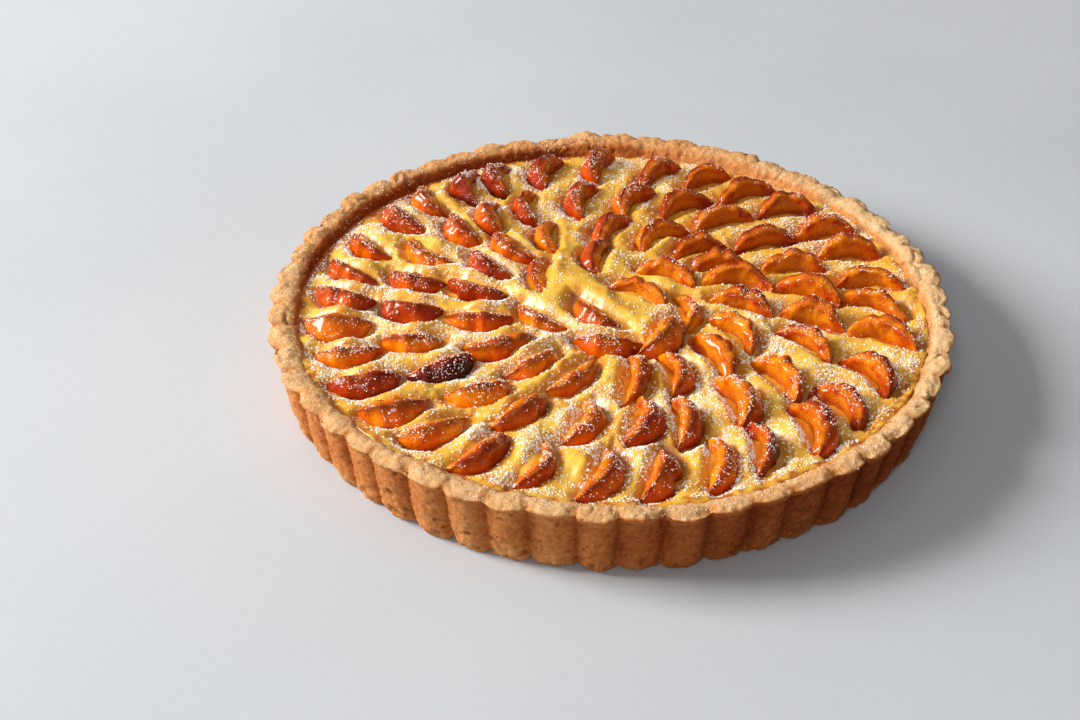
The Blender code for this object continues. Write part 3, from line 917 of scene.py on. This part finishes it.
def make_custard_material(sugar):
    """Baked egg custard: bright yellow, orange in stains, painted orange shade between the fruit, amber to
    wine-red with juice, and brown at the case, browned and with painted shadow of the rim at the back-left."""
    made, tree, shader = new_material("custard baked")
    juice = attribute(tree, "juice")
    base = mix(tree, span(tree, noise(tree, 0.009, 3.0), 0.35, 0.68), colour("F8C84C"), colour("EEAC34"))
    # Painted shade between the fruit.
    base = stain(tree, base, attribute(tree, "deep"), 0.55, "EC9C2C")
    base = stain(tree, base, span(tree, noise(tree, 0.0055, 3.0, 0.6), 0.54, 0.72), 0.42, "E69A2C")
    amber = mix(tree, span(tree, noise(tree, 0.017, 2.0), 0.42, 0.6), colour("DC8E2A"), colour("B06A50"))
    base = mix(tree, span(tree, juice, 0.45, 1.0, 0.0, 0.8), base, amber)
    uneven = span(tree, noise(tree, 0.004, 3.0), 0.3, 0.7, -0.40, 0.30)
    ragged = maths(tree, "ADD", attribute(tree, "margin"), uneven)
    # Brown at the case: browned custard, and painted shadow of the rim at the back-left.
    base = mix(tree, span(tree, ragged, 0.25, 0.90, 0.0, 0.90), base, colour("BC5A1C"))
    dust = sugar_mask(tree, sugar, 0.09)
    base = stain(tree, base, dust, 0.85, SUGAR_WHITE)
    gloss = dulled(tree, span(tree, juice, 0.2, 0.9, 0.42, 0.20), dust)
    relief = bump(tree, noise(tree, 0.0022, 3.0), 0.0004, 0.6)
    set_shader(tree, shader, Base_Color=base, Normal=relief, Roughness=gloss, Coat_Weight=0.12,
               Coat_Roughness=0.16, Subsurface_Weight=0.35, Subsurface_Scale=0.004,
               Subsurface_Radius=(1.0, 0.45, 0.12))
    return made


def make_plum_material(sugar):
    """Baked plum: glossy skin from orange to purple by ripeness and painted shade, amber flesh, paler in the
    bowl, a dark line of skin at its edge, a band of painted glow, and juice and painted shade near the
    custard."""
    made, tree, shader = new_material("plum baked")
    ripe = attribute(tree, "ripe")
    blotch = span(tree, noise(tree, 0.004, 2.0), 0.3, 0.7, -0.05, 0.07)
    skin = ramp(tree, maths(tree, "ADD", ripe, blotch), SKIN_RIPENESS)
    patchy = maths(tree, "ADD", span(tree, noise(tree, 0.0022, 2.0), 0.3, 0.7, -0.05, 0.07),
                   span(tree, noise(tree, 0.0060, 2.0), 0.32, 0.68, -0.14, 0.22))
    flesh = ramp(tree, maths(tree, "ADD", maths(tree, "MULTIPLY", ripe, 0.5), patchy), FLESH_RIPENESS)
    flesh = mix(tree, span(tree, attribute(tree, "bowl"), 0.05, 0.9, 0.0, 0.55), flesh, colour("EE9420"))
    base = mix(tree, attribute(tree, "skin"), flesh, skin)
    base = stain(tree, base, attribute(tree, "edge"), 0.66, "701A0A")
    # Painted light: the glowing band in the flesh.
    base = stain(tree, base, attribute(tree, "painted_glow"), 0.42, "FFA010")
    # Juice and painted shade, low down near the custard.
    base = stain(tree, base, attribute(tree, "juice_and_shade"), 0.8, "C87A5A", "MULTIPLY")
    dust = sugar_mask(tree, sugar, 0.09)
    base = stain(tree, base, dust, 0.8, SUGAR_WHITE)
    gloss = dulled(tree, span(tree, noise(tree, 0.005, 2.0), 0.3, 0.7, 0.16, 0.34), dust)
    glaze = span(tree, attribute(tree, "dust"), 0.25, 0.65, 1.0, 0.40)
    creases = maths(tree, "ABSOLUTE", maths(tree, "SUBTRACT", noise(tree, 0.0030, 2.0), 0.5))
    height = maths(tree, "ADD", maths(tree, "MULTIPLY", creases, 1.2), noise(tree, 0.0009, 3.0))
    smoother = span(tree, attribute(tree, "skin"), 0.0, 1.0, 1.0, 0.75)
    relief = bump(tree, maths(tree, "MULTIPLY", height, smoother), 0.0006)
    set_shader(tree, shader, Base_Color=base, Normal=relief, Roughness=gloss, Specular_IOR_Level=0.08,
               Coat_Weight=glaze, Coat_Roughness=0.09, Coat_IOR=1.33, Subsurface_Weight=0.32,
               Subsurface_Scale=0.005, Subsurface_Radius=(1.0, 0.36, 0.05))
    return made


def make_grain_material():
    """Icing sugar in small lumps: white and dull, each lump a little different, and glowing a little as
    painted light.
    """
    made, tree, shader = new_material("sugar grain")
    tint = mix(tree, noise(tree, 0.0015, 1.0), colour("FFFCF6"), colour("F0E7DB"))
    # Painted light: the grains glow a little, though they are no lamp.
    set_shader(tree, shader, Base_Color=tint, Roughness=0.6,
               Emission_Color=colour("FFFAF0"), Emission_Strength=0.20)
    return made


# Pieces.

def build_case(material):
    """The baked case in place of its solid."""
    points, values = crust_surface()
    piece = new_skin("crust_baked", points, values, material)
    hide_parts("crust")
    return points


def build_filling(halves, material):
    """The custard in place of its solid."""
    piece, top = build_custard(halves, material)
    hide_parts("custard")
    return top


def build_fruit(halves, material):
    """One piece for each half. Those of the inner rings stand for parts of the custard's node."""
    surfaces = []
    for half in halves:
        points, values = half_plum_surface(half)
        piece = new_skin("fruit_" + half["name"][5:], points, values, material)
        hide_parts(half["name"] if half["name"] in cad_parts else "custard")
        surfaces.append(points)
    return surfaces


def upward_share(points, low, high):
    """How level a grid is, by the height of its unit normal, as a smooth step."""
    return smooth_step(grid_normals(points)[..., 2], low, high)


def custard_places(top, halves, rng):
    """Places for grains on the custard, between the halves and clear of the case."""
    x, y = top[..., 0], top[..., 1]
    clear = np.ones(x.shape)
    for half in halves:
        near = near_half(half, x, y)
        way, front, _ = plum_footprint(half, x[near], y[near])
        clear[near] *= smooth_step(np.where(front > 0.0, 1.0, way), -0.0004, 0.0016)
    weight = clear * dusting(top) * (np.hypot(x, y) < inner_radius(CUSTARD_LEVEL) - 0.001)
    return scatter(top, weight, CUSTARD_GRAINS, rng)


def fruit_places(fruit, rng):
    """Places for grains on whatever of the fruit stands clear of the custard and faces up."""
    places = []
    for points in fruit:
        ring = np.concatenate([points, points[:, :1]], axis=1)
        share = upward_share(points, 0.25, 0.85)
        share = np.concatenate([share, share[:, :1]], axis=1)
        weight = share * dusting(ring) * (ring[..., 2] > CUSTARD_LEVEL + 0.001) + 1e-9
        places.append(scatter(ring, weight, int(FRUIT_GRAINS * weight.mean()), rng))
    return np.concatenate(places)


def rim_places(case, rng):
    """Places for grains on the top of the rim."""
    share = upward_share(case, 0.4, 0.9) * (case[..., 2] > HEIGHT - 0.004)
    return scatter(case, share * dusting(case), RIM_GRAINS, rng)


def build_sugar(case, top, fruit, halves, material):
    """Grains on the custard, on the fruit and on the rim, drawn in that order."""
    rng = np.random.default_rng(SUGAR_SEED)
    places = custard_places(top, halves, rng)
    piece = build_grains("sugar_on_custard", places, CUSTARD_GRAIN_SIZE, material, rng)
    places = fruit_places(fruit, rng)
    piece = build_grains("sugar_on_fruit", places, FRUIT_GRAIN_SIZE, material, rng)
    places = rim_places(case, rng)
    piece = build_grains("sugar_on_rim", places, RIM_GRAIN_SIZE, material, rng)


def build_tart():
    """All of the food."""
    sugar = make_sugar_group()
    halves = plum_halves()
    case = build_case(make_crust_material(sugar))
    top = build_filling(halves, make_custard_material(sugar))
    fruit = build_fruit(halves, make_plum_material(sugar))
    build_sugar(case, top, fruit, halves, make_grain_material())


# The set: floor, light and camera.

def build_floor():
    """A wide, pale floor of fine matt plaster."""
    corners = np.array([[-1, -1, 0], [1, -1, 0], [1, 1, 0], [-1, 1, 0]], float) * FLOOR_HALF_SIDE
    mesh = bpy.data.meshes.new("floor")
    mesh.from_pydata(corners.tolist(), [], [(0, 1, 2, 3)])
    made, tree, shader = new_material("floor pale")
    tint = mix(tree, span(tree, noise(tree, 0.25, 3.0), 0.3, 0.7), colour("CED4DB"), colour("C8CED5"))
    set_shader(tree, shader, Base_Color=tint, Roughness=0.7, Specular_IOR_Level=0.3)
    mesh.materials.append(made)
    floor = bpy.data.objects.new("floor", mesh)
    bpy.context.scene.collection.objects.link(floor)


def add_softbox(name, place, side, power, tint):
    """A square area light that faces the origin."""
    data = bpy.data.lights.new(name, "AREA")
    data.size = side
    data.energy = power
    data.color = tint
    light = bpy.data.objects.new(name, data)
    bpy.context.scene.collection.objects.link(light)
    x, y, z = place
    light.location = place
    light.rotation_euler = (math.atan2(math.hypot(x, y), z), 0.0, math.atan2(-x, y) + math.pi)


def build_light():
    """Warm sun from the left, two weak lamps and a dim, warm room."""
    for softbox in SOFTBOXES:
        add_softbox(*softbox)
    world = bpy.data.worlds.new("studio")
    world.use_nodes = True
    background = world.node_tree.nodes["Background"]
    background.inputs["Color"].default_value = ROOM_TINT
    background.inputs["Strength"].default_value = ROOM_STRENGTH
    bpy.context.scene.world = world


def build_camera():
    """The camera at the place and tilt that fit the outline of the tart in the photograph."""
    data = bpy.data.cameras.new("camera")
    data.lens = LENS_MM
    data.sensor_width = SENSOR_MM
    camera = bpy.data.objects.new("camera", data)
    camera.location = CAMERA_PLACE
    camera.rotation_euler = (CAMERA_TILT, 0.0, CAMERA_TURN)
    bpy.context.scene.collection.objects.link(camera)
    bpy.context.scene.camera = camera
    bpy.context.scene.view_settings.view_transform = "Standard"


build_tart()
build_floor()
build_light()
build_camera()
